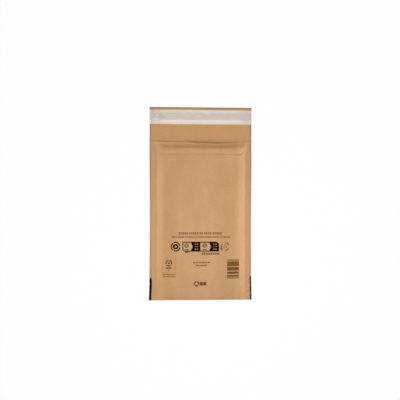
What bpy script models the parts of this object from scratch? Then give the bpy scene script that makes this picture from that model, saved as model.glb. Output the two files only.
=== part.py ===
# Padded mailing envelope lying on its back, empty, with its flap open.
# One kraft sheet folded along the bottom edge, a bubble film lining folded and welded inside it,
# a band of adhesive on the flap and the peel-off liner that covers it.
# Metres. Z is up, the flap points to +Y, the origin is under the middle of the outline.
import math

import bmesh
import bpy
from mathutils import Vector

# Kraft sheet
envelopeWidth = 0.140      # across both side seams
bodyLength = 0.218         # bottom fold to the lip of the mouth
flapLength = 0.047         # lip to the free edge of the flap
paperThickness = 0.0002
sealWidth = 0.010          # flat seam down each side
waist = 0.0006             # how far the full pad draws each side in, half way up

# Thickness of the pack
padThickness = 0.0126      # at its middle, above the surface it lies on
bottomThickness = 0.0054   # at the bottom fold
lipHeight = 0.0084         # top of the open lip, at mid-width
lipSag = 0.0020            # the steep fall to the lip draws its middle back
mouthRidge = 0.0005        # the bare paper swells past the lining before it falls
sealRise = 0.0028          # underside of the side seams above the surface
bottomRun = 0.070          # from the bottom fold up to full thickness
mouthPaper = 0.0175        # bare paper between the lining's end and the lip
flapRun = 0.008            # beyond the lip the flap lies flat

# Bubble film lining
filmThickness = 0.0003
bubbleDiameter = 0.0100
bubbleHeight = 0.0027
bubblePitch = 0.0125       # along a row
rowPitch = 0.0108          # from row to row, every other row is shifted by half a pitch
crownShare = 0.62          # flat top of a bubble against its foot
leastBubble = 0.0007       # lower ones are pressed flat
liningEdge = 0.0010        # from the sheet's side edge to the film's

# Closure on the flap
linerWidth = 0.0200        # along Y
linerInset = 0.0043        # from the flap's free edge
linerThickness = 0.0001
adhesiveLength = 0.111
adhesiveWidth = 0.0088
adhesiveThickness = 0.00015
adhesiveInset = 0.0081     # from the flap's free edge
linerStep = 0.0015         # the liner comes down beside the band over this width

gap = 0.0003               # between pieces that touch
foldSteps = 6              # facets round the bottom fold

halfWidth = envelopeWidth / 2
seamX = halfWidth - sealWidth
bottomY = -(bodyLength + flapLength) / 2
lipY = bottomY + bodyLength
flapEndY = lipY + flapLength
filmDepth = paperThickness + gap           # outer face of the sheet to the film
sealThickness = 2 * (filmDepth + filmThickness)
mouthSeal = 2 * paperThickness + gap       # seam thickness above the lining
foldHalf = 0.75 * bottomThickness          # half the way round the bottom fold
liningEndY = lipY - mouthPaper


def ease(value):
    value = min(1.0, max(0.0, value))
    return value * value * (3 - 2 * value)


def mix(first, second, share):
    return first + (second - first) * share


def lift(x, y):
    # Underside of the sheet: on the surface in the middle, raised at the seams, flat again on the flap
    side = ease((abs(x) - 0.66 * seamX) / (0.34 * seamX))
    along = mix(0.7, 1.0, ease((y - bottomY) / bottomRun))
    down = 1 - ease((y - (lipY - 1.6 * mouthPaper)) / (1.6 * mouthPaper + flapRun))
    return sealRise * side * along * down


def fullness(y):
    # Share of the full pad thickness along the body
    low = (bottomThickness - sealThickness) / (padThickness - sealThickness)
    up = min(1.0, max(0.0, (y - bottomY) / bottomRun))
    share = mix(low, 1.0, 1 - (1 - up) ** 2)
    lip = (lipHeight - mouthSeal) / (padThickness - mouthSeal)
    past = (y - liningEndY) / mouthPaper
    swell = mouthRidge / (padThickness - mouthSeal) * ease(past / 0.3)
    return mix(share + swell, lip, ease((past - 0.36) / 0.56))


def thickness(x, y):
    past = ease((y - liningEndY) / mouthPaper)
    across = min(1.0, abs(x) / seamX)
    dome = (1 - across ** mix(5.5, 2.6, past)) * (1 - 0.05 * across ** 2)
    seam = mix(sealThickness, mouthSeal, ease((y - liningEndY) / (0.3 * mouthPaper)))
    return seam + (padThickness - seam) * dome * fullness(y)


def sheetPoint(s, t):
    # Outer face of the folded sheet: s across, t up the front above 0 and up the back below it
    nose = 0.45 * thickness(s, bottomY)
    run = abs(t) - foldHalf
    if run < 0:
        angle = math.pi / 2 * t / foldHalf
        tall = thickness(s, bottomY)
        y = bottomY + nose * (1 - math.cos(angle))
        z = lift(s, bottomY) + tall / 2 * (1 + math.sin(angle))
    else:
        y = bottomY + run + nose * (1 - ease(run / 0.02))
        z = lift(s, y) + (thickness(s, y) if t > 0 else 0.0)
        if t > 0:
            y -= lipSag * ease((y - liningEndY) / mouthPaper) * (1 - min(1.0, abs(s) / seamX) ** 2)
    drawn = waist / halfWidth * math.sin(math.pi * min(1.0, max(0.0, (y - bottomY) / bodyLength))) ** 2
    return Vector((s * (1 - drawn), y, z))


def depthPoint(s, t, depth):
    # A point under the outer face, towards the pocket
    step = 0.0004
    across = sheetPoint(s + step, t) - sheetPoint(s - step, t)
    along = sheetPoint(s, t + step) - sheetPoint(s, t - step)
    return sheetPoint(s, t) - across.cross(along).normalized() * depth


def runTo(y):
    return y - bottomY + foldHalf


def material(name, colour, roughness, alpha=1.0, transmission=0.0):
    made = bpy.data.materials.new(name)
    made.use_nodes = True
    shader = made.node_tree.nodes["Principled BSDF"]
    shader.inputs["Base Color"].default_value = (*colour, 1.0)
    shader.inputs["Roughness"].default_value = roughness
    shader.inputs["Metallic"].default_value = 0.0
    shader.inputs["Alpha"].default_value = alpha
    shader.inputs["Transmission Weight"].default_value = transmission
    return made


def place(bm, name, collection, finish):
    mesh = bpy.data.meshes.new(name)
    bm.to_mesh(mesh)
    bm.free()
    mesh.materials.append(finish)
    mesh.shade_smooth()
    obj = bpy.data.objects.new(name, mesh)
    collection.objects.link(obj)
    return obj


def blank(columns, rows):
    # A flat grid with its lines at the given places
    bm = bmesh.new()
    across, along = len(columns) - 1, len(rows) - 1
    bmesh.ops.create_grid(bm, x_segments=across, y_segments=along, size=1.0)
    for vert in bm.verts:
        i = round((vert.co.x + 1) / 2 * across)
        j = round((vert.co.y + 1) / 2 * along)
        vert.co = (columns[i], rows[j], 0.0)
    return bm


def bubbleColumns():
    half = bubblePitch / 2
    count = int((seamX - 0.3 * half) / half)
    inner = [k * half for k in range(-count, count + 1)]
    edge = halfWidth - liningEdge
    side = [seamX, (seamX + edge) / 2, edge]
    return [-x for x in reversed(side)] + inner + side, count


def bubbleRows():
    # Distances from the middle of the bottom fold, up one panel
    start = foldHalf + 0.5 * rowPitch
    end = runTo(liningEndY)
    count = int((end - 0.3 * rowPitch - start) / rowPitch)
    first = end - 0.3 * rowPitch - count * rowPitch
    return [first + k * rowPitch for k in range(count + 1)], end


def foldRows():
    return [foldHalf * (2 * k / foldSteps - 1) for k in range(foldSteps + 1)]


def kraftOuter(collection):
    # Flap and back panel, round the bottom fold, then the front panel up to its lip
    columns, _ = bubbleColumns()
    near = [x for x in columns if 0.4 * seamX < abs(x) <= seamX]
    middle = [x for x in columns if abs(x) <= 0.4 * seamX][::2]
    columns = sorted(near + middle + [-halfWidth, -(seamX + halfWidth) / 2, (seamX + halfWidth) / 2, halfWidth])
    up, end = bubbleRows()
    mouth = [end + mouthPaper * k / 7 for k in range(8)]
    flap = [runTo(lipY + flapRun * 0.5), runTo(lipY + flapRun), runTo((lipY + flapRun + flapEndY) / 2),
            runTo(flapEndY)]
    rows = [-t for t in reversed(up + mouth[::2] + flap)] + foldRows() + up + mouth
    bm = blank(columns, rows)
    for vert in bm.verts:
        vert.co = sheetPoint(vert.co.x, vert.co.y)
    sheet = place(bm, "kraft_outer", collection, material("kraft paper", (0.597, 0.347, 0.171), 0.85))
    shell = sheet.modifiers.new("paper", "SOLIDIFY")
    shell.thickness = paperThickness
    shell.offset = -1.0
    shell.use_even_offset = True
    return sheet


def bubbleRoom(s, t):
    # How high a bubble can stand before it meets the one on the other panel
    reach = crownShare * bubbleDiameter / 2
    least = min(thickness(s + dx, sheetPoint(s, abs(t)).y + dy)
                for dx in (-reach, 0, reach) for dy in (-reach, 0, reach))
    return min(bubbleHeight, least / 2 - filmDepth - filmThickness - gap)


def raiseBubbles(bm, faces):
    for face in faces:
        centre = face.calc_center_bounds()
        for size, high in ((1.0, 0.0), (crownShare, bubbleRoom(centre.x, centre.y))):
            bmesh.ops.inset_individual(bm, faces=[face], thickness=0.0001)
            for vert in face.verts:
                way = vert.co - centre
                turn = math.radians(60) * round((math.atan2(way.y, way.x) - math.radians(30)) / math.radians(60))
                turn += math.radians(30)
                radius = size * bubbleDiameter / 2
                vert.co = (centre.x + radius * math.cos(turn), centre.y + radius * math.sin(turn),
                           filmThickness + high)


def bubbleLining(collection):
    # One web of film: flat side to the paper, bubbles to the pocket, welded along both sides
    columns, count = bubbleColumns()
    up, end = bubbleRows()
    rows = [-end] + [-t for t in reversed(up)] + foldRows() + up + [end]
    bm = blank(columns, rows)
    outer = list(bm.verts)
    for vert in outer:
        vert.co.z = 0.0
    grown = bmesh.ops.extrude_face_region(bm, geom=bm.faces[:])["geom"]
    inner = {item for item in grown if isinstance(item, bmesh.types.BMVert)}
    for vert in inner:
        vert.co.z = filmThickness
    skin = [item for item in grown if isinstance(item, bmesh.types.BMFace)]

    # The bubble cells are pairs of neighbouring squares, staggered from row to row
    half = bubblePitch / 2
    cells = []
    for k in range(len(up) - 1):
        for j in range(1 - count, count):
            if (j + k + count) % 2 == 0:
                continue
            for side in (1, -1):
                s, t = j * half, side * (up[k] + up[k + 1]) / 2
                if bubbleRoom(s, t) >= leastBubble:
                    cells.append((s, t))
    lines = {}
    for face in skin:
        for edge in face.edges:
            a, b = edge.verts
            if abs(a.co.x - b.co.x) < 1e-6:
                lines[(round(a.co.x / half * 2), round((a.co.y + b.co.y) / 2 * 1e5))] = edge
    split = [lines[(round(s / half * 2), round(t * 1e5))] for s, t in cells]
    bmesh.ops.dissolve_edges(bm, edges=split, use_verts=False)
    merged = [f for f in bm.faces if len(f.verts) == 6]
    raiseBubbles(bm, merged)

    # Where the two panels are welded their inner faces go, and the edges they leave are joined
    seam = [f for f in bm.faces if all(v.co.z > filmThickness / 2 and abs(v.co.x) > seamX - 1e-6 for v in f.verts)]
    bmesh.ops.delete(bm, geom=seam, context="FACES")
    for vert in bm.verts:
        s, t, depth = vert.co
        if depth > filmThickness / 2 and abs(s) > seamX - 1e-6:
            run = max(abs(t), foldHalf)
            low, high = sheetPoint(s, -run), sheetPoint(s, run)
            vert.co = (low + high) / 2
        else:
            vert.co = depthPoint(s, t, filmDepth + depth)
    bmesh.ops.remove_doubles(bm, verts=bm.verts, dist=0.00001)
    bmesh.ops.recalc_face_normals(bm, faces=bm.faces)
    return place(bm, "bubble_lining", collection,
                 material("bubble film", (0.80, 0.82, 0.83), 0.15, alpha=0.5, transmission=0.6))


def adhesiveStrip(collection):
    middleY = flapEndY - adhesiveInset - adhesiveWidth / 2
    bm = bmesh.new()
    bmesh.ops.create_cube(bm, size=1.0)
    bmesh.ops.scale(bm, vec=(adhesiveLength, adhesiveWidth, adhesiveThickness), verts=bm.verts)
    strip = place(bm, "adhesive_strip", collection, material("hot melt adhesive", (0.62, 0.45, 0.30), 0.35))
    strip.location = (0.0, middleY, paperThickness + gap + adhesiveThickness / 2)
    strip.data.shade_flat()
    return strip


def releaseLiner(collection):
    # Lies on the flap and steps over the adhesive
    top = flapEndY - linerInset
    bandTop, bandEnd = flapEndY - adhesiveInset + gap, flapEndY - adhesiveInset - adhesiveWidth - gap
    bandX = adhesiveLength / 2 + gap
    low = paperThickness + gap
    high = low + adhesiveThickness + gap
    columns = [-halfWidth, -bandX - linerStep, -bandX, 0.0, bandX, bandX + linerStep, halfWidth]
    rows = [top - linerWidth, bandEnd - linerStep, bandEnd, bandTop, bandTop + linerStep, top]
    bm = blank(columns, rows)
    for vert in bm.verts:
        over = abs(vert.co.x) < bandX + linerStep / 2 and bandEnd - linerStep / 2 < vert.co.y < bandTop + linerStep / 2
        vert.co.z = high if over else low
    film = place(bm, "release_liner", collection,
                 material("release film", (0.74, 0.66, 0.58), 0.3, alpha=0.9, transmission=0.2))
    shell = film.modifiers.new("film", "SOLIDIFY")
    shell.thickness = linerThickness
    shell.offset = 1.0
    return film


def main():
    for obj in list(bpy.data.objects):
        bpy.data.objects.remove(obj, do_unlink=True)
    collection = bpy.data.collections.new("padded envelope")
    bpy.context.scene.collection.children.link(collection)
    kraftOuter(collection)
    bubbleLining(collection)
    adhesiveStrip(collection)
    releaseLiner(collection)


main()
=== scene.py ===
# Looks of the padded envelope: kraft sheet with its print, bubble lining, adhesive band and release liner
import math
import random

import bmesh
import bpy
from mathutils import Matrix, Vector, noise


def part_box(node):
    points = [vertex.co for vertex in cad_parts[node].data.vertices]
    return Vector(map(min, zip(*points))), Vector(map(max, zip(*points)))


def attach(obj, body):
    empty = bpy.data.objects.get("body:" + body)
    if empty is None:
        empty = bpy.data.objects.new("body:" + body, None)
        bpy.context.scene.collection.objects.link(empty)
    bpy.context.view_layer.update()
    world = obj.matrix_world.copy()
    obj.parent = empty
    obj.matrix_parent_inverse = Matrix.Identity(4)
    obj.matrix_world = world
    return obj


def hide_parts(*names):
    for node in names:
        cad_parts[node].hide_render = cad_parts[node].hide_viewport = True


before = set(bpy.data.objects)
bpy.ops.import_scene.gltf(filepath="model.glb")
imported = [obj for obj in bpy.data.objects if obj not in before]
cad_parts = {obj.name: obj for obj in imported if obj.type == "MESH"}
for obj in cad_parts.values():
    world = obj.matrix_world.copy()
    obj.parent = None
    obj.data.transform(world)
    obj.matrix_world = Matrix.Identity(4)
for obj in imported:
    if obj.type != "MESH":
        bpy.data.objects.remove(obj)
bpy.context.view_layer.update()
kraftLow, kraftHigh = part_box("kraft_outer")
mm = 0.001

# The folded sheet, in metres; its outline comes from the frame. Pairs are for the left and the right side.
sheet = {
    "halfWidth": kraftHigh[0],
    "bottomY": kraftLow[1],
    "flapEndY": kraftHigh[1],
    "bodyLength": 0.218,
    "paper": 0.0002,
    "film": 0.0003,
    "gap": 0.0003,
    "seam": (0.0100, 0.0088),        # flat seam down each side
    "seamRise": 0.0028,              # it stands off the table
    "riseFrom": 0.66,                # share of the way out where the sheet leaves the table
    "riseAtBottom": 0.7,             # share of the rise that is left at the bottom fold
    "riseFade": 0.0525,              # the rise fades from this far before the lip
    "flapRun": 0.008,                # to this far past it
    "waist": 0.0006,                 # the full pad draws each side in
    "bottomFlare": 0.0006,           # and lets the bottom corners out
    "flareRun": 0.12,                # over this share of the body
    "pad": 0.0126,
    "bottom": 0.0054,
    "bottomRun": 0.070,
    "foldShare": 0.75,               # half the paper's run round the bottom fold, a share of its thickness
    "nose": 0.45,                    # how far the fold reaches out, the same
    "noseRun": 0.02,
    "dome": (3.3, 4.2),              # how square the pad is across, at its ends
    "domeMiddle": (5.6, -0.015, 0.075),  # half way up, with place and width
    "domeMouth": (3.0, 4.0),         # and at its lip
    "crown": 0.05,
    "mouthPaper": 0.0175,            # bare paper past the lining
    "mouthDrop": 0.0016,             # the pad thins towards the mouth
    "mouthDropRun": 0.055,
    "mouthWiden": (0.0020, 0.0036),  # the loose mouth bulges over its seams
    "mouthRidge": 0.0005,            # swell of the bare paper before it falls
    "ridgeRun": 0.3,                 # as a share of the bare paper
    "fallFrom": 0.44,
    "fallStraight": 0.35,
    "sealRun": 0.01575,              # past the lining the seams thin over this run
    "lip": 0.0038,
    "lipLift": 0.0006,               # the lip stands off the flap even at the seams
    "lipLiftRun": 0.004,
    "lipCorner": (-0.067, 0.008),    # and more here: place and width
    "lipSag": 0.0020,                # the fall to the lip draws its middle back
}
bottomY = sheet["bottomY"]
lipY = bottomY + sheet["bodyLength"]
flapEndY = sheet["flapEndY"]
liningEndY = lipY - sheet["mouthPaper"]
filmDepth = sheet["paper"] + sheet["gap"]
sealThickness = 2 * (filmDepth + sheet["film"])
mouthSeal = 2 * sheet["paper"] + sheet["gap"]
foldHalf = sheet["foldShare"] * sheet["bottom"]


def clamp(value):
    return min(1.0, max(0.0, value))


def rise(value, start, end):
    # 0 at start and 1 at end, soft at both
    share = clamp((value - start) / (end - start))
    return share * share * (3 - 2 * share)


def mix(first, second, share):
    return first + (second - first) * share


def bell(distance, width):
    return math.exp(-(distance / width) ** 2)


def sideValue(name, x):
    # the value of a pair for the side that x is on
    return sheet[name][1 if x > 0 else 0]


def seamAt(x):
    # how far from the middle the pad ends on this side
    return sheet["halfWidth"] - sideValue("seam", x)


def lift(x, y):
    # underside of the sheet: flat in the middle, raised at the seams, flat again on the flap
    side = rise(abs(x) / seamAt(x), sheet["riseFrom"], 1.0)
    along = mix(sheet["riseAtBottom"], 1.0, rise(y, bottomY, bottomY + sheet["bottomRun"]))
    down = 1 - rise(y, lipY - sheet["riseFade"], lipY + sheet["flapRun"])
    return sheet["seamRise"] * side * along * down


def fullness(y):
    # share of the pad's thickness along the body
    low = (sheet["bottom"] - sealThickness) / (sheet["pad"] - sealThickness)
    up = clamp((y - bottomY) / sheet["bottomRun"])
    share = mix(low, 1.0, 1 - (1 - up) ** 2)
    share -= sheet["mouthDrop"] / sheet["pad"] * rise(y, liningEndY - sheet["mouthDropRun"], liningEndY)
    span = sheet["pad"] - mouthSeal
    past = (y - liningEndY) / sheet["mouthPaper"]
    share += sheet["mouthRidge"] / span * rise(past, 0.0, sheet["ridgeRun"])
    fall = clamp((past - sheet["fallFrom"]) / (1 - sheet["fallFrom"]))
    return mix(share, (sheet["lip"] - mouthSeal) / span, mix(rise(fall, 0.0, 1.0), fall, sheet["fallStraight"]))


def thickness(x, y):
    past = rise(y, liningEndY, lipY)
    across = min(1.0, abs(x) / (seamAt(x) + sideValue("mouthWiden", x) * past))
    middlePower, middleY, middleWidth = sheet["domeMiddle"]
    power = mix(sideValue("dome", x), middlePower, bell(y - middleY, middleWidth))
    power = mix(power, sideValue("domeMouth", x), past)
    dome = (1 - across ** power) * (1 - sheet["crown"] * across ** 2)
    seam = mix(sealThickness, mouthSeal, rise(y, liningEndY, liningEndY + sheet["sealRun"]))
    cornerX, cornerWidth = sheet["lipCorner"]
    seam += sheet["lipLift"] * rise(y, lipY - sheet["lipLiftRun"], lipY) * (1 + bell(x - cornerX, cornerWidth))
    return seam + (sheet["pad"] - seam) * dome * fullness(y)


# Hand of the paper: how far it strays from the plain form
paperHand = {
    "holdRun": 0.006,           # the seams hold the paper down this far in
    "swell": 0.00022,           # slow waves over the pad
    "swellSize": 0.045,
    "swellStretch": 0.6,
    "cockle": 0.00022,          # short waves that run in from the seams
    "cockleSize": 0.013,
    "cockleStretch": 0.35,
    "cockleBand": (0.007, 0.008),            # place and width
    "crease": (0.0007, 0.00095, 0.0011),     # groove where the lining ends: place, depth and width
    "creaseRun": 0.010,
    "corner": 0.0009,           # mitred folds at the two upper corners of the pad
    "cornerPlace": (0.006, 0.002),
    "cornerWidth": 0.0012,
    "cornerReach": (-0.004, 0.0, 0.006, 0.011),
    "cornerShare": (0.2, 0.5),               # left and right
    "foldCrease": (0.0046, 0.00020, 0.0007),  # faint crease above the bottom fold: place, depth and width
    "foldCreaseEnd": (0.020, -0.010),
    "slump": 0.0027,            # the pad thins earlier on the left of its mouth
    "slumpAcross": (0.018, -0.032),
    "slumpAlong": (-0.024, 0.002),
    "slumpIn": 0.022,
    "slumpEnd": 0.007,
    "mouthCorner": (0.059, 0.0010, 0.007),   # the right corner of the mouth lies lower: place, depth and width
    "mouthCornerRun": (0.005, 0.015),
    "lipWave": 0.0012,
    "lipWaves": ((1.0, 0.010, 0.012), (0.6, -0.009, 0.006), (0.5, -0.062, 0.008),  # share, place and width
                 (-1.6, -0.032, 0.017), (-0.9, 0.042, 0.015)),
    "settleRun": 0.012,         # the bottom fold itself is smooth
    "backFrom": 0.001,          # the back is wavy where it is this far off the table
    "sagUneven": 0.5,           # the lip hangs back more on the right
    "sagWave": (50, 0.1),
    "flapWave": 0.00035,
    "flapWaveSize": 0.03,
    "flapWaveBase": 0.35,
    "flapFree": (0.004, 0.014),              # past the lip
}


def cornerFold(x, y, side, seamX):
    # a fold from the pad's corner out over the seam
    inX, inY = paperHand["cornerPlace"]
    outward, up = x * side - (seamX - inX), y - (liningEndY - inY)
    along, off = (outward + up) / math.sqrt(2), (outward - up) / math.sqrt(2)
    start, full, fade, end = paperHand["cornerReach"]
    reach = rise(along, start, full) * (1 - rise(along, fade, end))
    share = paperHand["cornerShare"][1 if side > 0 else 0]
    return paperHand["corner"] * bell(off, paperHand["cornerWidth"]) * reach * share


def handOf(x, y, front):
    # height that the paper's waves, creases and folds add; a noise's last number only picks another stretch of it
    seamX = seamAt(x)
    inward = seamX - abs(x)
    hold = rise(inward, 0.0, paperHand["holdRun"])
    spot = Vector((x, y * paperHand["swellStretch"], 0.0 if front else 7.0))
    swell = noise.noise(spot / paperHand["swellSize"]) * paperHand["swell"]
    spot = Vector((x * paperHand["cockleStretch"], y, 3.0 if x > 0 else 5.0))
    cockle = noise.noise(spot / paperHand["cockleSize"])
    bandX, bandWidth = paperHand["cockleBand"]
    high = (swell + cockle * bell(inward - bandX, bandWidth) * paperHand["cockle"]) * hold
    if not front:
        return high

    past = y - liningEndY
    place, depth, width = paperHand["crease"]
    high -= depth * bell(past - place, width) * rise(inward, 0.0, paperHand["creaseRun"])
    high += cornerFold(x, y, -1, seamX) + cornerFold(x, y, 1, seamX)
    place, depth, width = paperHand["foldCrease"]
    high -= depth * bell(y - bottomY - place, width) * rise(x, *paperHand["foldCreaseEnd"]) * hold
    slump = rise(x, *paperHand["slumpAcross"]) * rise(past, *paperHand["slumpAlong"])
    slump *= rise(inward, 0.0, paperHand["slumpIn"]) * (1 - rise(y, lipY - paperHand["slumpEnd"], lipY))
    high -= paperHand["slump"] * slump
    place, depth, width = paperHand["mouthCorner"]
    high -= depth * bell(x - place, width) * rise(past, *paperHand["mouthCornerRun"]) * hold
    wave = sum(share * bell(x - place, width) for share, place, width in paperHand["lipWaves"])
    high += paperHand["lipWave"] * wave * rise(y, liningEndY, lipY) * hold
    return high


def lipSagAt(s):
    across = min(1.0, abs(s) / seamAt(s))
    pace, start = paperHand["sagWave"]
    uneven = 1 + paperHand["sagUneven"] * math.sin(pace * s + start)
    return sheet["lipSag"] * (1 - across ** 2) * uneven


def sheetPoint(s, t):
    # outer face of the folded sheet: s across, t up the front above 0 and up the back below it
    tall = thickness(s, bottomY)
    nose = sheet["nose"] * tall
    run = abs(t) - foldHalf
    if run < 0:
        angle = math.pi / 2 * t / foldHalf
        y = bottomY + nose * (1 - math.cos(angle))
        z = lift(s, bottomY) + tall / 2 * (1 + math.sin(angle))
    else:
        y = bottomY + run + nose * (1 - rise(run, 0.0, sheet["noseRun"]))
        settle = rise(run, 0.0, paperHand["settleRun"])
        if t > 0:
            z = lift(s, y) + thickness(s, y) + handOf(s, y, True) * settle
            y -= lipSagAt(s) * rise(y, liningEndY, lipY)
        else:
            z = lift(s, y)
            freeFrom, freeTo = paperHand["flapFree"]
            free = rise(y, lipY + freeFrom, lipY + freeTo)
            if free > 0:
                wave = noise.noise(Vector((s, y, 11.0)) / paperHand["flapWaveSize"]) + paperHand["flapWaveBase"]
                z += free * max(0.0, wave) * paperHand["flapWave"]
            else:
                z += max(0.0, handOf(s, y, False)) * settle * rise(lift(s, y), 0.0, paperHand["backFrom"])
    body = clamp((y - bottomY) / sheet["bodyLength"])
    drawn = sheet["waist"] * math.sin(math.pi * body) ** 2
    drawn -= sheet["bottomFlare"] * (1 - rise(body, 0.0, sheet["flareRun"]))
    return Vector((s * (1 - drawn / sheet["halfWidth"]), y, z))


def depthPoint(s, t, depth):
    # a point under the outer face where depth is positive, on top of it where it is negative
    step = 0.0004
    across = sheetPoint(s + step, t) - sheetPoint(s - step, t)
    along = sheetPoint(s, t + step) - sheetPoint(s, t - step)
    return sheetPoint(s, t) - across.cross(along).normalized() * depth


def runTo(y):
    # how far up the sheet a place is, from the middle of the bottom fold
    return y - bottomY + foldHalf


def flapTop(x, y):
    # inner face of the flap, the one that looks up
    point = sheetPoint(x, -runTo(y))
    point.z += sheet["paper"]
    return point


def stretches(start, *parts):
    # places from start on; a part is where it ends and its step
    places = []
    for end, step in parts:
        count = max(1, round((end - start) / step))
        places += [start + (end - start) * k / count for k in range(count)]
        start = end
    return places + [start]


def bothPanels(run, foldSteps):
    # the same run up the back and up the front, with the bottom fold between them
    fold = [foldHalf * (2 * k / foldSteps - 1) for k in range(foldSteps + 1)]
    return [-t for t in reversed(run[1:])] + fold + run[1:]


def gridSheet(columns, rows, place):
    bm = bmesh.new()
    across, along = len(columns) - 1, len(rows) - 1
    bmesh.ops.create_grid(bm, x_segments=across, y_segments=along, size=1.0)
    for vert in bm.verts:
        i = round((vert.co.x + 1) / 2 * across)
        j = round((vert.co.y + 1) / 2 * along)
        vert.co = place(columns[i], rows[j])
    return bm


def makePiece(bm, name, *finishes):
    mesh = bpy.data.meshes.new(name)
    bm.to_mesh(mesh)
    bm.free()
    for finish in finishes:
        mesh.materials.append(finish)
    mesh.shade_smooth()
    piece = bpy.data.objects.new(name, mesh)
    bpy.context.collection.objects.link(piece)
    return piece


def thicken(piece, depth, offset, innerFinish=0):
    shell = piece.modifiers.new("thickness", "SOLIDIFY")
    shell.thickness = depth
    shell.offset = offset
    shell.use_even_offset = True
    shell.material_offset = innerFinish
    bpy.context.view_layer.objects.active = piece
    bpy.ops.object.modifier_apply(modifier=shell.name)
    # the cut edges stay sharp
    piece.data.set_sharp_from_angle(angle=math.radians(50))


# Small helpers for node materials
noiseRange = (0.3, 0.7)     # where most values of a noise lie


def newMaterial(name):
    finish = bpy.data.materials.new(name)
    finish.use_nodes = True
    return finish, finish.node_tree, finish.node_tree.nodes["Principled BSDF"]


def colourOf(colour):
    # a colour as it looks on screen, from 0 to 255, as the shader wants it
    def linear(value):
        value /= 255
        return value / 12.92 if value <= 0.04045 else ((value + 0.055) / 1.055) ** 2.4
    return tuple(linear(value) for value in colour) + (1.0,)


def feed(tree, socket, value):
    # a constant goes on the socket itself, anything else is linked
    if isinstance(value, (tuple, float, int)):
        socket.default_value = value
    else:
        tree.links.new(value, socket)


def placeNode(tree):
    return tree.nodes.new("ShaderNodeTexCoord").outputs["Object"]


def axesNode(tree, place):
    apart = tree.nodes.new("ShaderNodeSeparateXYZ")
    tree.links.new(place, apart.inputs["Vector"])
    return apart.outputs["X"], apart.outputs["Y"], apart.outputs["Z"]


def noiseNode(tree, place, scale, detail, stretch=(1, 1, 1)):
    turn = tree.nodes.new("ShaderNodeMapping")
    turn.inputs["Scale"].default_value = stretch
    tree.links.new(place, turn.inputs["Vector"])
    grain = tree.nodes.new("ShaderNodeTexNoise")
    grain.inputs["Scale"].default_value = scale
    grain.inputs["Detail"].default_value = detail
    tree.links.new(turn.outputs["Vector"], grain.inputs["Vector"])
    return grain.outputs["Fac"]


def rampNode(tree, value, low, high, first, second):
    ramp = tree.nodes.new("ShaderNodeMapRange")
    ramp.inputs["From Min"].default_value = low
    ramp.inputs["From Max"].default_value = high
    ramp.inputs["To Min"].default_value = first
    ramp.inputs["To Max"].default_value = second
    tree.links.new(value, ramp.inputs["Value"])
    return ramp.outputs["Result"]


def noisePart(tree, grain, part):
    # how much of a tone a noise gives; the part is its range and the most it gives
    low, high, most = part
    return rampNode(tree, grain, low, high, 0.0, most)


def mathNode(tree, operation, *values):
    node = tree.nodes.new("ShaderNodeMath")
    node.operation = operation
    for socket, value in zip(node.inputs, values):
        feed(tree, socket, value)
    return node.outputs[0]


def bandNode(tree, value, start, full, fade, end):
    # 1 from full to fade, 0 before start and past end
    return mathNode(tree, "MULTIPLY", rampNode(tree, value, start, full, 0.0, 1.0),
                    rampNode(tree, value, fade, end, 1.0, 0.0))


def blendNode(tree, share, first, second):
    blend = tree.nodes.new("ShaderNodeMix")
    blend.data_type = "RGBA"
    feed(tree, blend.inputs["Factor"], share)
    feed(tree, blend.inputs["A"], first)
    feed(tree, blend.inputs["B"], second)
    return blend.outputs["Result"]


def bumpNode(tree, shader, height, strength, distance):
    bump = tree.nodes.new("ShaderNodeBump")
    bump.inputs["Strength"].default_value = strength
    bump.inputs["Distance"].default_value = distance
    tree.links.new(height, bump.inputs["Height"])
    tree.links.new(bump.outputs["Normal"], shader.inputs["Normal"])


# Kraft paper; a noise is its scale, detail and stretch
kraftLook = {
    "outside": ((208, 161, 113), (214, 169, 122), (190, 142, 92)),  # plain, pale and dark tone
    "inside": ((210, 160, 109), (215, 165, 115), (194, 144, 94)),
    "fleck": (150, 106, 68),
    "clouds": (60, 4, (1, 0.5, 1)),
    "fibres": (900, 3, (0.35, 1.6, 1)),
    "specks": (1500, 2, (0.5, 1, 1)),
    "palePart": (*noiseRange, 1.0),
    "darkPart": (0.42, 0.75, 0.5),
    "fleckPart": (0.70, 0.78, 0.6),
    "edgeToneAndBottomShade": (150, 124, 98),      # greyer tone along the cut edges; the bottom fold takes a little of it as painted shade
    "edgeToneAndBottomShadeShare": 0.7,
    "rimWidth": 0.0024,
    "rimTop": (0.002712, 0.000792),     # at the flap's end
    "bottomShadeShare": 0.10,        # painted shade: how much of that tone the bottom fold takes
    "bottomShadeReach": 0.045,
    "shoulderShade": (184, 136, 82),     # painted shade: darker tone on the pad's shoulders
    "shoulderShadeShare": 0.30,
    "shoulderShadeLeft": (-0.053, -0.048, -0.041, -0.031),
    "shoulderShadeRight": (0.020, 0.034, 0.043, 0.051),
    "shoulderShadeEnd": (0.030, 0.058),
    "shoulderShadeHeight": (0.002, 0.004),
    "mouth": (222, 162, 88),        # painted shade: warmer, deeper tone on the dark slope of bare paper at the mouth
    "mouthShare": 0.45,
    "mouthAcross": (-0.056, -0.047, 0.048, 0.059),
    "mouthRun": (0.004, 0.010),
    "mouthHeight": (0.001, 0.003),
    "roughness": (0.72, 0.86),
    "specular": 0.2,
    "sheen": 0.05,
    "sheenRoughness": 0.6,
    "grain": (0.10, 0.0001),
    "columns": ((0.044, 0.0022), (0.062, 0.0007), (kraftHigh[0], 0.0016)),  # mesh from the middle: ends and steps
    "foldRows": 14,
    "overFoldRows": (0.008, 0.0005),    # run past the fold and step
    "frontRows": 0.0021,
    "mouthRows": (0.004, 0.00055),      # run before the lining's end and step
    "backRows": 0.0032,
    "flapRows": (0.012, 0.0025),        # run past the lip and step
}


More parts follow.
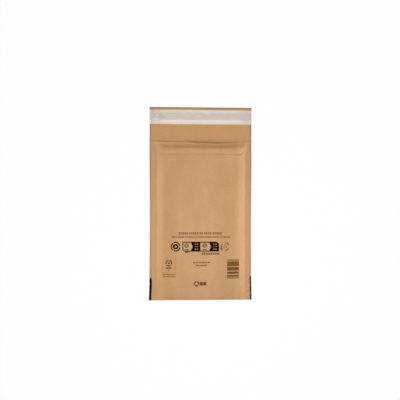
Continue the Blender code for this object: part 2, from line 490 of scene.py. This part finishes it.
def edgeToneAndBottomShadeShare(tree, place):
    # greyer tone along the cut edges of the sheet and, a little, painted shade towards its bottom
    acrossAxis, alongAxis, _ = axesNode(tree, place)
    half = sheet["halfWidth"] - sheet["bottomFlare"]
    most = kraftLook["edgeToneAndBottomShadeShare"]
    topStart, topEnd = kraftLook["rimTop"]
    sides = rampNode(tree, mathNode(tree, "ABSOLUTE", acrossAxis), half - kraftLook["rimWidth"], half, 0.0, most)
    top = rampNode(tree, alongAxis, flapEndY - topStart, flapEndY - topEnd, 0.0, most)
    # painted shade, darker towards the bottom fold
    bottom = rampNode(tree, alongAxis, bottomY, bottomY + kraftLook["bottomShadeReach"], kraftLook["bottomShadeShare"], 0.0)
    return mathNode(tree, "MAXIMUM", mathNode(tree, "MAXIMUM", bottom, sides), top)


def shoulderShadeShare(tree, place):
    # painted shade: two soft darker bands beside the seams, on the front only and from the bottom up to below the
    # mouth
    acrossAxis, alongAxis, upAxis = axesNode(tree, place)
    both = mathNode(tree, "ADD", bandNode(tree, acrossAxis, *kraftLook["shoulderShadeLeft"]),
                    bandNode(tree, acrossAxis, *kraftLook["shoulderShadeRight"]))
    part = mathNode(tree, "MULTIPLY", both,
                    rampNode(tree, alongAxis, *kraftLook["shoulderShadeEnd"], kraftLook["shoulderShadeShare"], 0.0))
    return mathNode(tree, "MULTIPLY", part, rampNode(tree, upAxis, *kraftLook["shoulderShadeHeight"], 0.0, 1.0))


def mouthShare(tree, place):
    # painted shade: the front panel's last centimetre before its lip, between its corners
    acrossAxis, alongAxis, upAxis = axesNode(tree, place)
    start, end = (liningEndY + run for run in kraftLook["mouthRun"])
    part = mathNode(tree, "MULTIPLY", rampNode(tree, alongAxis, start, end, 0.0, kraftLook["mouthShare"]),
                    rampNode(tree, upAxis, *kraftLook["mouthHeight"], 0.0, 1.0))
    return mathNode(tree, "MULTIPLY", part, bandNode(tree, acrossAxis, *kraftLook["mouthAcross"]))


def kraftFinish(name, tones):
    # unbleached paper: cloudy tone, fine fibres across the sheet, a few dark flecks, greyer cut edges, and
    # painted shade on the shoulders, at the mouth and towards the bottom
    finish, tree, shader = newMaterial(name)
    place = placeNode(tree)
    clouds, fibres, specks = (noiseNode(tree, place, *kraftLook[key]) for key in ("clouds", "fibres", "specks"))
    plain, pale, dark = (colourOf(tone) for tone in tones)
    tone = blendNode(tree, noisePart(tree, clouds, kraftLook["palePart"]), plain, pale)
    tone = blendNode(tree, noisePart(tree, fibres, kraftLook["darkPart"]), tone, dark)
    tone = blendNode(tree, noisePart(tree, specks, kraftLook["fleckPart"]), tone, colourOf(kraftLook["fleck"]))
    # painted shade on the pad's shoulders
    tone = blendNode(tree, shoulderShadeShare(tree, place), tone, colourOf(kraftLook["shoulderShade"]))
    # painted shade on the mouth's dark slope
    tone = blendNode(tree, mouthShare(tree, place), tone, colourOf(kraftLook["mouth"]))
    # greyer cut edges, and painted shade towards the bottom
    tone = blendNode(tree, edgeToneAndBottomShadeShare(tree, place), tone, colourOf(kraftLook["edgeToneAndBottomShade"]))
    tree.links.new(tone, shader.inputs["Base Color"])
    tree.links.new(rampNode(tree, fibres, *noiseRange, *kraftLook["roughness"]), shader.inputs["Roughness"])
    shader.inputs["Specular IOR Level"].default_value = kraftLook["specular"]
    shader.inputs["Sheen Weight"].default_value = kraftLook["sheen"]
    shader.inputs["Sheen Roughness"].default_value = kraftLook["sheenRoughness"]
    bumpNode(tree, shader, fibres, *kraftLook["grain"])
    return finish


def makeKraftSheet():
    # one sheet: flap and back, round the bottom fold, front panel up to its lip
    right = stretches(0, *kraftLook["columns"])
    columns = [-x for x in reversed(right[1:])] + right
    fold = stretches(-foldHalf, (foldHalf, 2 * foldHalf / kraftLook["foldRows"]))[1:-1]
    foldRun, foldStep = kraftLook["overFoldRows"]
    mouthRun, mouthStep = kraftLook["mouthRows"]
    front = stretches(foldHalf, (foldHalf + foldRun, foldStep),
                      (runTo(liningEndY) - mouthRun, kraftLook["frontRows"]), (runTo(lipY), mouthStep))
    flapRun, flapStep = kraftLook["flapRows"]
    back = stretches(foldHalf, (runTo(lipY + flapRun), kraftLook["backRows"]), (runTo(flapEndY), flapStep))
    rows = [-t for t in reversed(back)] + fold + front
    piece = makePiece(gridSheet(columns, rows, sheetPoint), "kraftSheet",
                      kraftFinish("kraftOutside", kraftLook["outside"]),
                      kraftFinish("kraftInside", kraftLook["inside"]))
    thicken(piece, sheet["paper"], -1.0, 1)
    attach(piece, "root")
    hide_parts("kraft_outer")


# Print: plain fields and bars where such envelopes carry their marks, all in millimetres.
# A field is its bottom, top, left, right and ink; arcs are their inner and outer radius, start and end.
black, brown, faint, bare = range(4)
printPlan = {
    "inks": (("inkBlack", (10, 2, 0), 5), ("inkBrown", (104, 69, 32), 26),  # name, colour and how much it fades
             ("inkFaint", (140, 102, 62), 22), ("inkBare", (168, 128, 90), 20)),
    "inkPart": (0.4, 0.75, 1.0),
    "roughness": 0.8,
    "specular": 0.04,
    "lift": 0.03,
    "bareLift": 3,          # bare marks lie this many times higher, over the dark fields
    "skin": 0.03,
    "step": 2.2,            # the print bends with the sheet at this step
    "lines": [              # middle height, height, from, to and ink
        (-39.8, 3.1, -30.6, 28.6, faint), (-44.8, 2.2, -39.9, 41.4, faint),
        (-79.4, 1.9, -10.4, 12.2, brown), (-83.6, 1.8, -6.8, 8.6, brown),
        (-65.4, 1.8, -21.8, -17.2, brown), (-67.6, 2.4, 1.6, 25.4, brown),
    ],
    "block": 0.66,          # width of a line's blocks, a share of its height, and the gaps between them
    "blockGap": 0.20,
    "groupGap": 0.3,        # further gap after each group
    "group": (2, 6),        # fewest and most blocks in one
    "ringStep": 15,         # degrees
    "curvedRows": 8,
    "label": {"low": -64.5, "high": -51.2, "left": -25.4, "right": 24.8, "corner": 4.0, "line": 1.25,
              "arrow": 3.1, "darkLeft": 13.9, "darkRight": 14.0, "overlap": 0.3, "split": 0.5},
    "labelMarks": {"middle": 5.8, "right": 5.4, "apart": 1.5, "half": 1.0,
                   "rows": ((0.25, 0.65), (0.5, 0.45), (0.75, 0.65))},
    "labelRings": {"in": 5.6, "up": 0.62, "first": (1.9, 3.0), "second": (1.1, 1.9), "off": (0.6, -1.0),
                   "foot": (2.2, 3.1, -2.6, 2.8)},
    "leftRing": {"out": 9.2, "arcs": (5.1, 6.7, 8, 112), "heart": (1.5, 3.7)},
    "rightRing": {"out": 8.7, "arcs": ((4.2, 6.2, 20, 90), (1.2, 2.6, 50, 130)), "heavy": (4.4, 7.2, 187, 225)},
    "frameMark": {"dashes": (-52.4, -34.4), "low": -99.8, "long": 1.6, "pitch": 2.9, "count": 9, "half": 0.3,
                  "place": (-43.6, -80.6), "arcs": (3.0, 4.7, -20, 80), "disc": (0.01, 1.5),
                  "bars": ((-88.2, -86.4, -47.6, -39.8, brown), (-90.4, -89.6, -45.0, -42.4, brown)),
                  "rows": ((-95.9, 21), (-98.9, 22)), "row": (1.4, -51.4, -35.6)},
    "ladder": {"left": 36.2, "right": 52.8, "pitch": 1.2,
               "stretches": ((-102.1, -99.6, 0.55), (-99.6, -97.0, 0.92), (-95.5, -92.4, 1.0),
                             (-91.1, -86.2, 0.95), (-85.2, -79.4, 0.90), (-79.4, -75.1, 0.55))},
    "smudge": (-121.0, -119.2, 64.4, 66.2, bare),
    "bottomMark": {"place": (-5.4, -109.0), "arcs": (2.0, 3.8, 95, 200),
                   "blocks": ((-111.4, -106.6, -1.3, 2.8, brown), (-111.4, -106.6, 3.6, 7.7, brown))},
    "edgeMark": {"left": (3.2, 30.9), "right": (1.6, 32.6), "past": 0.35, "step": 2.0, "fold": 16},
}


def inkFinish(name, colour, fade):
    # ink that has sunk into the paper, so the fibres break it up a little
    finish, tree, shader = newMaterial(name)
    fibres = noiseNode(tree, placeNode(tree), *kraftLook["fibres"])
    paler = tuple(value + fade for value in colour)
    tone = blendNode(tree, noisePart(tree, fibres, printPlan["inkPart"]), colourOf(colour), colourOf(paler))
    tree.links.new(tone, shader.inputs["Base Color"])
    shader.inputs["Roughness"].default_value = printPlan["roughness"]
    shader.inputs["Specular IOR Level"].default_value = printPlan["specular"]
    return finish


def printPoint(x, y, ink):
    height = printPlan["lift"] * (printPlan["bareLift"] if ink == bare else 1)
    return depthPoint(x * mm, runTo(y * mm), -height * mm)


def addField(bm, bottom, top, left, right, ink=black):
    # left and right are places, or rules that give one for each share of the height
    leftOf = left if callable(left) else lambda share: left
    rightOf = right if callable(right) else lambda share: right
    step = printPlan["step"]
    curved = printPlan["curvedRows"]
    rows = max(curved if callable(left) or callable(right) else 1, round((top - bottom) / step))
    widest = max(rightOf(k / curved) - leftOf(k / curved) for k in range(curved + 1))
    across = max(1, round(widest / step))
    grid = []
    for j in range(rows + 1):
        start, end = leftOf(j / rows), rightOf(j / rows)
        y = mix(bottom, top, j / rows)
        grid.append([bm.verts.new(printPoint(mix(start, end, i / across), y, ink)) for i in range(across + 1)])
    for low, high in zip(grid, grid[1:]):
        for i in range(across):
            bm.faces.new((low[i], low[i + 1], high[i + 1], high[i])).material_index = ink


def addRing(bm, x, y, inner, outer, start=0, end=360, ink=black):
    steps = max(6, round((end - start) / printPlan["ringStep"]))
    closed = end - start == 360
    loops = []
    for k in range(steps if closed else steps + 1):
        turn = math.radians(start + (end - start) * k / steps)
        loops.append([bm.verts.new(printPoint(x + radius * math.cos(turn), y + radius * math.sin(turn), ink))
                      for radius in (inner, outer)])
    for k in range(steps):
        first, second = loops[k], loops[(k + 1) % len(loops)]
        bm.faces.new((first[0], first[1], second[1], second[0])).material_index = ink


def addArcs(bm, x, y, inner, outer, start, end, ink=black):
    # a broken ring of three arcs
    for turn in (0, 120, 240):
        addRing(bm, x, y, inner, outer, turn + start, turn + end, ink)


def addBlocks(bm, middle, tall, start, end, ink, seed):
    # a line of plain blocks in small groups, spread to fill the line
    dice = random.Random(seed)
    block, gap = printPlan["block"] * tall, printPlan["blockGap"] * tall
    starts, x = [], 0.0
    while x < end - start - 2 * (block + gap):
        for _ in range(dice.randint(*printPlan["group"])):
            if x + block > end - start:
                break
            starts.append(x)
            x += block + gap
        x += printPlan["groupGap"] * tall
    spread = (end - start) / (starts[-1] + block)
    for x in starts:
        addField(bm, middle - tall / 2, middle + tall / 2, start + x * spread, start + (x + block) * spread, ink)


def addLabel(bm, label):
    # wide label of two dark and two bare fields inside an outline
    low, high, left, right = (label[key] for key in ("low", "high", "left", "right"))
    corner, line = label["corner"], label["line"]
    tall = high - low
    middle = (left + right) / 2
    firstEnd = middle - label["darkLeft"] + label["overlap"]
    secondEnd = right - label["darkRight"] + label["overlap"]

    def leftEdge(share):
        down = max(0.0, 1 - share * tall / corner)
        return left + corner * (1 - math.sqrt(max(0.0, 1 - down ** 2)))

    def rightEdge(share):
        up = max(0.0, 1 - (1 - share) * tall / corner)
        return right - corner * (1 - math.sqrt(max(0.0, 1 - up ** 2)))

    def between(share):
        return leftEdge((line + share * (tall - 2 * line)) / tall)

    def arrowAt(x):
        # a field that begins with a blunt arrow
        return lambda share: x + label["arrow"] * (1 - abs(2 * share - 1))

    addField(bm, low, high, arrowAt(middle - label["darkLeft"]), middle - label["split"])
    addField(bm, low, high, arrowAt(right - label["darkRight"]), rightEdge)
    addField(bm, low, low + line, lambda share: leftEdge(share * line / tall), firstEnd)
    addField(bm, high - line, high, left, firstEnd)
    addField(bm, low + line, high - line, between, lambda share: between(share) + line)
    for edge in (low, high - line):
        addField(bm, edge, edge + line, middle - label["split"], secondEnd)

    marks = printPlan["labelMarks"]
    for x in (middle - marks["middle"], right - marks["right"]):
        for side in (x - marks["apart"], x + marks["apart"]):
            for row, half in marks["rows"]:
                y = low + tall * row
                addField(bm, y - half, y + half, side - marks["half"], side + marks["half"], bare)
    rings = printPlan["labelRings"]
    for x in (left + rings["in"], middle + rings["in"]):
        y = low + rings["up"] * tall
        addRing(bm, x, y, *rings["first"], ink=brown)
        addRing(bm, x + rings["off"][0], y + rings["off"][1], *rings["second"], ink=brown)
        footLow, footHigh, footLeft, footRight = rings["foot"]
        addField(bm, low + footLow, low + footHigh, x + footLeft, x + footRight)

    # ring with a dark heart to its left, broken ring to its right
    level = (low + high) / 2
    ring = printPlan["leftRing"]
    addArcs(bm, left - ring["out"], level, *ring["arcs"])
    addRing(bm, left - ring["out"], level, *ring["heart"])
    ring = printPlan["rightRing"]
    for arcs in ring["arcs"]:
        addArcs(bm, right + ring["out"], level, *arcs, ink=faint)
    addRing(bm, right + ring["out"], level, *ring["heavy"], ink=brown)


def addFrameMark(bm, mark):
    # broken ring with a disc and lines between two dashed lines
    for x in mark["dashes"]:
        for k in range(mark["count"]):
            y = mark["low"] + mark["pitch"] * k
            addField(bm, y, y + mark["long"], x - mark["half"], x + mark["half"], faint)
    addArcs(bm, *mark["place"], *mark["arcs"], ink=brown)
    addRing(bm, *mark["place"], *mark["disc"], ink=brown)
    for field in mark["bars"]:
        addField(bm, *field)
    for middle, seed in mark["rows"]:
        addBlocks(bm, middle, *mark["row"], brown, seed)


def addLadder(bm, ladder):
    # bars in stretches: bottom, top and how much of each is inked
    for bottom, top, inked in ladder["stretches"]:
        count = round((top - bottom) / ladder["pitch"])
        pitch = (top - bottom) / count
        for k in range(count):
            addField(bm, bottom + k * pitch, bottom + (k + inked) * pitch, ladder["left"], ladder["right"], brown)


def addEdgeMark(bm, mark, start, end, length):
    # dark strip up both faces of the sheet, round the bottom fold
    up = stretches(foldHalf, (runTo(bottomY + length * mm), mark["step"] * mm))
    across = (start, (start + end) / 2, end)
    rungs = [[bm.verts.new(depthPoint(x * mm, t, -printPlan["lift"] * mm)) for x in across]
             for t in bothPanels(up, mark["fold"])]
    for low, high in zip(rungs, rungs[1:]):
        for i in range(2):
            bm.faces.new((low[i], low[i + 1], high[i + 1], high[i]))


def makePrint():
    bm = bmesh.new()
    for seed, (middle, tall, start, end, ink) in enumerate(printPlan["lines"]):
        addBlocks(bm, middle, tall, start, end, ink, seed)
    addLabel(bm, printPlan["label"])
    addFrameMark(bm, printPlan["frameMark"])
    addLadder(bm, printPlan["ladder"])
    addField(bm, *printPlan["smudge"])

    # broken ring and two plain blocks near the bottom
    mark = printPlan["bottomMark"]
    addArcs(bm, *mark["place"], *mark["arcs"], ink=brown)
    for field in mark["blocks"]:
        addField(bm, *field)

    mark = printPlan["edgeMark"]
    half = sheet["halfWidth"] / mm
    (leftWide, leftLong), (rightWide, rightLong) = mark["left"], mark["right"]
    addEdgeMark(bm, mark, -half, leftWide - half, leftLong)
    addEdgeMark(bm, mark, half - rightWide, half + mark["past"], rightLong)

    piece = makePiece(bm, "print", *(inkFinish(*ink) for ink in printPlan["inks"]))
    thicken(piece, printPlan["skin"] * mm, 1.0)
    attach(piece, "root")


# Bubble film
filmLook = {
    "pitch": 0.0125,
    "rowPitch": 0.0108,
    "endShare": 0.3,        # the outer bubbles stop this share of a pitch inside
    "radius": 0.0050,
    "height": 0.0027,
    "least": 0.0007,        # lower ones are pressed flat
    "reach": 0.62,          # share of the radius over which a bubble needs room
    "roundness": 0.7,
    "edge": 0.0010,
    "steps": (0.0025, 0.003),
    "foldSteps": 10,
    "weld": 0.98,           # how far the two panels go into each other in the weld
    "segments": 16,
    "rings": 4,
    "colour": (226, 232, 236),
    "pale": (240, 243, 245),
    "haze": (140, 3),
    "roughness": (0.10, 0.24),
    "clear": 0.75,
    "bending": 1.45,        # of light, as plastic film has it
    "bump": (0.15, 0.0002),
}


def filmFinish():
    finish, tree, shader = newMaterial("bubbleFilm")
    haze = noiseNode(tree, placeNode(tree), *filmLook["haze"])
    tone = blendNode(tree, rampNode(tree, haze, *noiseRange, 0.0, 1.0), colourOf(filmLook["colour"]),
                     colourOf(filmLook["pale"]))
    tree.links.new(tone, shader.inputs["Base Color"])
    tree.links.new(rampNode(tree, haze, *noiseRange, *filmLook["roughness"]), shader.inputs["Roughness"])
    shader.inputs["Transmission Weight"].default_value = filmLook["clear"]
    shader.inputs["IOR"].default_value = filmLook["bending"]
    bumpNode(tree, shader, haze, *filmLook["bump"])
    return finish


def filmPoint(s, t, depth):
    if abs(s) <= seamAt(s):
        return depthPoint(s, t, filmDepth + depth)
    # beyond the pad the two panels meet in the weld
    run = max(abs(t), foldHalf)
    middle = (sheetPoint(s, run) + sheetPoint(s, -run)) / 2
    return mix(depthPoint(s, t, filmDepth), middle, min(filmLook["weld"], depth / sheet["film"]))


def bubbleRoom(s, t):
    # how high a bubble can be before it meets the one across the pocket
    reach = filmLook["reach"] * filmLook["radius"]
    y = sheetPoint(s, abs(t)).y
    least = min(thickness(s + dx, y + dy) for dx in (-reach, 0, reach) for dy in (-reach, 0, reach))
    return min(filmLook["height"], least / 2 - filmDepth - sheet["film"] - sheet["gap"])


def addBubble(bm, s, t, high):
    # a closed cap with its foot inside the film
    around, rings = filmLook["segments"], filmLook["rings"]
    base = sheet["film"] * 0.5
    loops = []
    for ring in range(rings):
        angle = math.pi / 2 * ring / rings
        radius = filmLook["radius"] * math.cos(angle) ** filmLook["roundness"]
        depth = base + (base + high) * math.sin(angle)
        turns = [2 * math.pi * k / around for k in range(around)]
        loops.append([bm.verts.new(filmPoint(s + radius * math.cos(turn), t + radius * math.sin(turn), depth))
                      for turn in turns])
    crown = bm.verts.new(filmPoint(s, t, base + base + high))
    bm.faces.new(loops[0])
    for low, up in zip(loops, loops[1:]):
        for k in range(around):
            after = (k + 1) % around
            bm.faces.new((low[after], low[k], up[k], up[after]))
    for k in range(around):
        bm.faces.new((loops[-1][(k + 1) % around], loops[-1][k], crown))


def makeLining():
    half = sheet["halfWidth"] - filmLook["edge"]
    end = runTo(liningEndY)
    columnStep, rowStep = filmLook["steps"]
    columns = stretches(-half, (half, columnStep))
    rows = bothPanels(stretches(foldHalf, (end, rowStep)), filmLook["foldSteps"])

    bm = gridSheet(columns, rows, lambda s, t: Vector((s, t, 0)))
    grown = bmesh.ops.extrude_face_region(bm, geom=bm.faces[:])["geom"]
    raised = {item for item in grown if isinstance(item, bmesh.types.BMVert)}
    for vert in bm.verts:
        vert.co = filmPoint(vert.co.x, vert.co.y, sheet["film"] if vert in raised else 0.0)
    bmesh.ops.recalc_face_normals(bm, faces=bm.faces)

    # round bubbles in staggered rows on the pocket side of both panels
    pitch, rowPitch = filmLook["pitch"] / 2, filmLook["rowPitch"]
    count = int((seamAt(-1) - filmLook["endShare"] * pitch) / pitch)
    first = end - filmLook["endShare"] * rowPitch
    rowCount = int((first - foldHalf - 0.5 * rowPitch) / rowPitch)
    for k in range(rowCount):
        for j in range(1 - count, count):
            if (j + k + count) % 2 == 0:
                continue
            for side in (1, -1):
                s, t = j * pitch, side * (first - (k + 0.5) * rowPitch)
                high = bubbleRoom(s, t)
                if high > filmLook["least"]:
                    addBubble(bm, s, t, high)
    piece = makePiece(bm, "bubbleLining", filmFinish())
    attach(piece, "root")
    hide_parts("bubble_lining")


# Closure: adhesive band on the flap, and the liner over it
closure = {
    "linerInset": 0.0037,
    "linerWidth": 0.0195,
    "linerThickness": 0.00008,
    "bandInset": 0.0081,
    "bandWidth": 0.0088,
    "bandLength": 0.111,
    "bandThickness": 0.00015,
    "rest": 0.0001,         # both lie this high over the flap
    "overBand": 0.00008,
    "comeDown": 0.0032,     # beside the band the liner comes down over this run
    "lift": 0.0011,         # the liner's left end stands off the flap
    "liftRun": (0.013, 0.005),      # how far from its edge that starts and is full
    "liftBend": (0.6, 0.004),       # share and run of its edge that bends down again
    "liftCurve": 0.7,       # lower towards the corners
    "liftRight": (0.5, 0.012, 0.004),   # share and runs at the right end
    "ripple": (0.00006, (0.012, 0.004), (0.0034, 0.008)),  # height, sizes of the broad and of the fine one
    "thumb": (-0.0600, 0.0044, 0.00025),  # place, radius and depth of the pressed mark at the left end
    "thumbTall": 0.8,
    "thumbRun": (-0.002, 0.001),
    "thumbRidge": (-0.002, 0.0012),     # place inside the rim and width
    "thumbRim": 0.0008,
    "linerSteps": (0.0011, 0.0008),
    "bandStep": 0.003,
    "liner": (240, 226, 212),
    "linerEnd": (219, 209, 199),
    "contact": (215, 200, 188),
    "contactEnd": (206, 197, 189),
    "streak": (246, 238, 228),
    "wobble": (220, 3, (0.6, 1, 1)),
    "wander": 0.0005,       # how far the edges of these tones stray
    "contactEdge": (0.0006, 0.0012),
    "endFade": (0.020, 0.006),
    "streaks": (500, 3, (0.25, 1.5, 1)),
    "streakPart": (0.35, 0.75, 0.35),
    "roughness": (0.26, 0.42),
    "specular": 0.4,
    "bump": (0.2, 0.0002),
    "adhesive": ((182, 140, 96), (200, 160, 116)),
    "lanes": (300, 2, (0.1, 2.0, 1)),
    "lanePart": (0.35, 0.65, 1.0),
    "adhesiveRoughness": 0.3,
}
bandTopY = flapEndY - closure["bandInset"]
bandMiddleY = bandTopY - closure["bandWidth"] / 2
linerTopY = flapEndY - closure["linerInset"]
linerMiddleY = linerTopY - closure["linerWidth"] / 2


def bandOver(x, y):
    # 1 over the adhesive, 0 beside it
    beside = max(abs(x) - closure["bandLength"] / 2, abs(y - bandMiddleY) - closure["bandWidth"] / 2)
    return 1 - rise(beside, 0.0, closure["comeDown"])


def linerFinish():
    # milky film, warmer and darker where it clings to the adhesive, greyer at its loose ends
    finish, tree, shader = newMaterial("releaseFilm")
    place = placeNode(tree)
    acrossAxis, alongAxis, _ = axesNode(tree, place)
    wobble = noiseNode(tree, place, *closure["wobble"])
    offset = rampNode(tree, wobble, *noiseRange, -closure["wander"], closure["wander"])

    def near(axis, middle, inner, outer):
        away = mathNode(tree, "ABSOLUTE", mathNode(tree, "SUBTRACT", axis, middle))
        return rampNode(tree, mathNode(tree, "ADD", away, offset), inner, outer, 1.0, 0.0)

    half, halfBand = sheet["halfWidth"], closure["bandWidth"] / 2
    edgeIn, edgeOut = closure["contactEdge"]
    fadeStart, fadeEnd = closure["endFade"]
    inBand = near(alongAxis, bandMiddleY, halfBand - edgeIn, halfBand + edgeOut)
    inMiddle = near(acrossAxis, 0.0, half - fadeStart, half - fadeEnd)
    tone = blendNode(tree, inMiddle, colourOf(closure["linerEnd"]), colourOf(closure["liner"]))
    contact = blendNode(tree, inMiddle, colourOf(closure["contactEnd"]), colourOf(closure["contact"]))
    tone = blendNode(tree, inBand, tone, contact)
    streaks = noiseNode(tree, place, *closure["streaks"])
    tone = blendNode(tree, noisePart(tree, streaks, closure["streakPart"]), tone, colourOf(closure["streak"]))
    tree.links.new(tone, shader.inputs["Base Color"])
    tree.links.new(rampNode(tree, streaks, *noiseRange, *closure["roughness"]), shader.inputs["Roughness"])
    shader.inputs["Specular IOR Level"].default_value = closure["specular"]
    bumpNode(tree, shader, wobble, *closure["bump"])
    return finish


def adhesiveFinish():
    finish, tree, shader = newMaterial("hotMelt")
    lanes = noiseNode(tree, placeNode(tree), *closure["lanes"])
    dark, pale = (colourOf(tone) for tone in closure["adhesive"])
    tone = blendNode(tree, noisePart(tree, lanes, closure["lanePart"]), dark, pale)
    tree.links.new(tone, shader.inputs["Base Color"])
    shader.inputs["Roughness"].default_value = closure["adhesiveRoughness"]
    return finish


def bandPoint(x, y):
    point = flapTop(x, y)
    point.z += closure["rest"]
    return point


def linerPoint(x, y):
    half = sheet["halfWidth"]
    over = bandOver(x, y)
    # the left end stands up and bends down again at its edge, the right end only stands off a little
    start, full = closure["liftRun"]
    bend, bendRun = closure["liftBend"]
    leftEnd = rise(-x, half - start, half - full) - bend * rise(-x, half - bendRun, half)
    across = (y - linerMiddleY) / (closure["linerWidth"] / 2)
    puff = closure["lift"] * max(0.0, leftEnd) * (1 - closure["liftCurve"] * across ** 2)
    share, start, full = closure["liftRight"]
    puff += share * closure["lift"] * rise(x, half - start, half - full)
    thumbX, thumbRadius, thumbDepth = closure["thumb"]
    away = math.hypot(x - thumbX, (y - linerMiddleY) * closure["thumbTall"]) - thumbRadius
    ridge, ridgeWidth = closure["thumbRidge"]
    pressed = 1 + bell(away - ridge, ridgeWidth) - bell(away, closure["thumbRim"])
    puff += thumbDepth * pressed * rise(thumbX - x, *closure["thumbRun"])
    height, (broadX, broadY), (fineX, fineY) = closure["ripple"]
    ripple = height * noise.noise(Vector((x / broadX, y / broadY, 4.0)))
    ripple += height * noise.noise(Vector((x / fineX, y / fineY, 9.0))) * over
    point = flapTop(x, y)
    point.z += closure["rest"] + over * (closure["bandThickness"] + closure["overBand"]) + puff + abs(ripple)
    return point


def makeClosure():
    halfBand = closure["bandLength"] / 2
    columns = stretches(-halfBand, (halfBand, closure["bandStep"]))
    rows = [bandTopY - closure["bandWidth"], bandMiddleY, bandTopY]
    band = makePiece(gridSheet(columns, rows, bandPoint), "adhesiveBand", adhesiveFinish())
    thicken(band, closure["bandThickness"], 1.0)
    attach(band, "root")
    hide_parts("adhesive_strip")

    half = sheet["halfWidth"]
    columnStep, rowStep = closure["linerSteps"]
    columns = stretches(-half, (half, columnStep))
    rows = stretches(linerTopY - closure["linerWidth"], (linerTopY, rowStep))
    liner = makePiece(gridSheet(columns, rows, linerPoint), "releaseLiner", linerFinish())
    thicken(liner, closure["linerThickness"], 1.0)
    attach(liner, "root")
    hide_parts("release_liner")


# Studio: pale floor, broad soft light from both sides, camera above
studio = {
    "floor": (255, 255, 255),
    "floorRoughness": 0.9,
    "floorHalf": 3.0,
    "floorDrop": 0.0002,
    "floorWhite": 0.97,     # how much of the plain white the camera sees on the floor
    "room": 0.25,
    "lamps": (              # name, place, size and power
        ("lampRight", (0.9, -0.03, 0.085), (0.6, 0.12), 4.72),
        ("lampLeft", (-0.9, -0.03, 0.085), (0.6, 0.12), 3.36),
        ("lampAbove", (0.0, -0.065, 0.42), (0.3, 0.4), 1.27),
    ),
    "cameraHeight": 0.8,
    "cameraTurn": (-1.2, -3.2, 0.17),
    "aim": (-0.0007, 0.0053, 0.0),
    "lens": 52.25,
}


def addLamp(name, place, size, power):
    lamp = bpy.data.lights.new(name, "AREA")
    lamp.shape = "RECTANGLE"
    lamp.size, lamp.size_y = size
    lamp.energy = power
    holder = bpy.data.objects.new(name, lamp)
    holder.location = place
    holder.rotation_euler = (-Vector(place)).to_track_quat("-Z", "Y").to_euler()
    holder.visible_camera = False
    bpy.context.collection.objects.link(holder)


def whiteForCamera(tree, lit, plain, share):
    # the picture and its reflections see the plain white, everything else the lit surface
    path = tree.nodes.new("ShaderNodeLightPath")
    seen = path.outputs["Is Camera Ray"]
    for other in ("Is Glossy Ray", "Is Transmission Ray"):
        seen = mathNode(tree, "MAXIMUM", seen, path.outputs[other])
    blend = tree.nodes.new("ShaderNodeMixShader")
    tree.links.new(mathNode(tree, "MULTIPLY", seen, share), blend.inputs["Fac"])
    tree.links.new(lit, blend.inputs[1])
    tree.links.new(plain, blend.inputs[2])
    return blend.outputs[0]


def makeFloor():
    bm = bmesh.new()
    bmesh.ops.create_grid(bm, x_segments=1, y_segments=1, size=studio["floorHalf"])
    bmesh.ops.translate(bm, verts=bm.verts, vec=(0, 0, -studio["floorDrop"]))
    finish, tree, shader = newMaterial("paleFloor")
    shader.inputs["Base Color"].default_value = colourOf(studio["floor"])
    shader.inputs["Roughness"].default_value = studio["floorRoughness"]
    glow = tree.nodes.new("ShaderNodeEmission")
    glow.inputs["Strength"].default_value = 1.0
    seen = whiteForCamera(tree, shader.outputs[0], glow.outputs[0], studio["floorWhite"])
    tree.links.new(seen, tree.nodes["Material Output"].inputs["Surface"])
    floor = makePiece(bm, "floor", finish)


def makeRoom():
    world = bpy.data.worlds.new("studioWorld")
    bpy.context.scene.world = world
    world.use_nodes = True
    tree = world.node_tree
    room = tree.nodes["Background"]
    room.inputs["Strength"].default_value = studio["room"]
    white = tree.nodes.new("ShaderNodeBackground")
    white.inputs["Strength"].default_value = 1.0
    for light in (room, white):
        light.inputs["Color"].default_value = (1, 1, 1, 1)
    seen = whiteForCamera(tree, room.outputs[0], white.outputs[0], 1.0)
    tree.links.new(seen, tree.nodes["World Output"].inputs["Surface"])


def makeCamera():
    camera = bpy.data.cameras.new("camera")
    camera.sensor_width = 36
    camera.lens = studio["lens"]
    holder = bpy.data.objects.new("camera", camera)
    holder.rotation_euler = [math.radians(angle) for angle in studio["cameraTurn"]]
    bpy.context.collection.objects.link(holder)
    bpy.context.view_layer.update()
    back = holder.matrix_world.to_3x3() @ Vector((0, 0, studio["cameraHeight"]))
    holder.location = Vector(studio["aim"]) + back
    bpy.context.scene.camera = holder
    bpy.context.scene.view_settings.view_transform = "Standard"


makeFloor()
makeRoom()
for lampValues in studio["lamps"]:
    addLamp(*lampValues)
makeCamera()
print("studio made")
makeKraftSheet()
print("kraft sheet made")
makePrint()
print("print made")
makeLining()
print("lining made")
makeClosure()
print("closure made")
